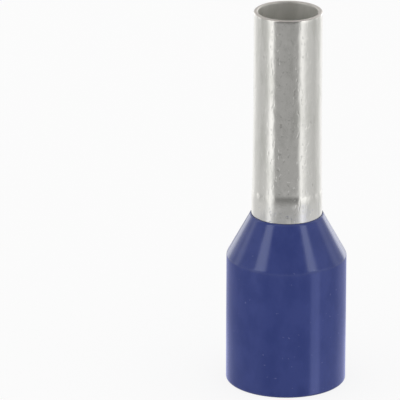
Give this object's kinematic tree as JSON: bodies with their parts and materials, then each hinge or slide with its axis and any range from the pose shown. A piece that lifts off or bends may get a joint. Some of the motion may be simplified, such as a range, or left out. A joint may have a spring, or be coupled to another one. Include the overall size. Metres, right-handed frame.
{
  "type": "wire ferrule",
  "caption": "Insulated wire ferrule: a straight tinned copper sleeve held in a blue plastic collar with a cone and an open barrel.",
  "frame": {"origin": "centre of the collar's open rim, on the surface that the ferrule stands on", "axes": "+Z along the axis, from the collar towards the sleeve's tip; X and Y are alike, because the part is turned"},
  "size_m": [0.0044, 0.0044, 0.0143],
  "materials": {
    "tinned_copper": "tin plated copper, satin with fine draw lines",
    "blue_plastic": "moulded polypropylene, soft gloss"
  },
  "bodies": {
    "root": {"sleeve": "tinned_copper", "collar": "blue_plastic"}
  },
  "joints": []
}
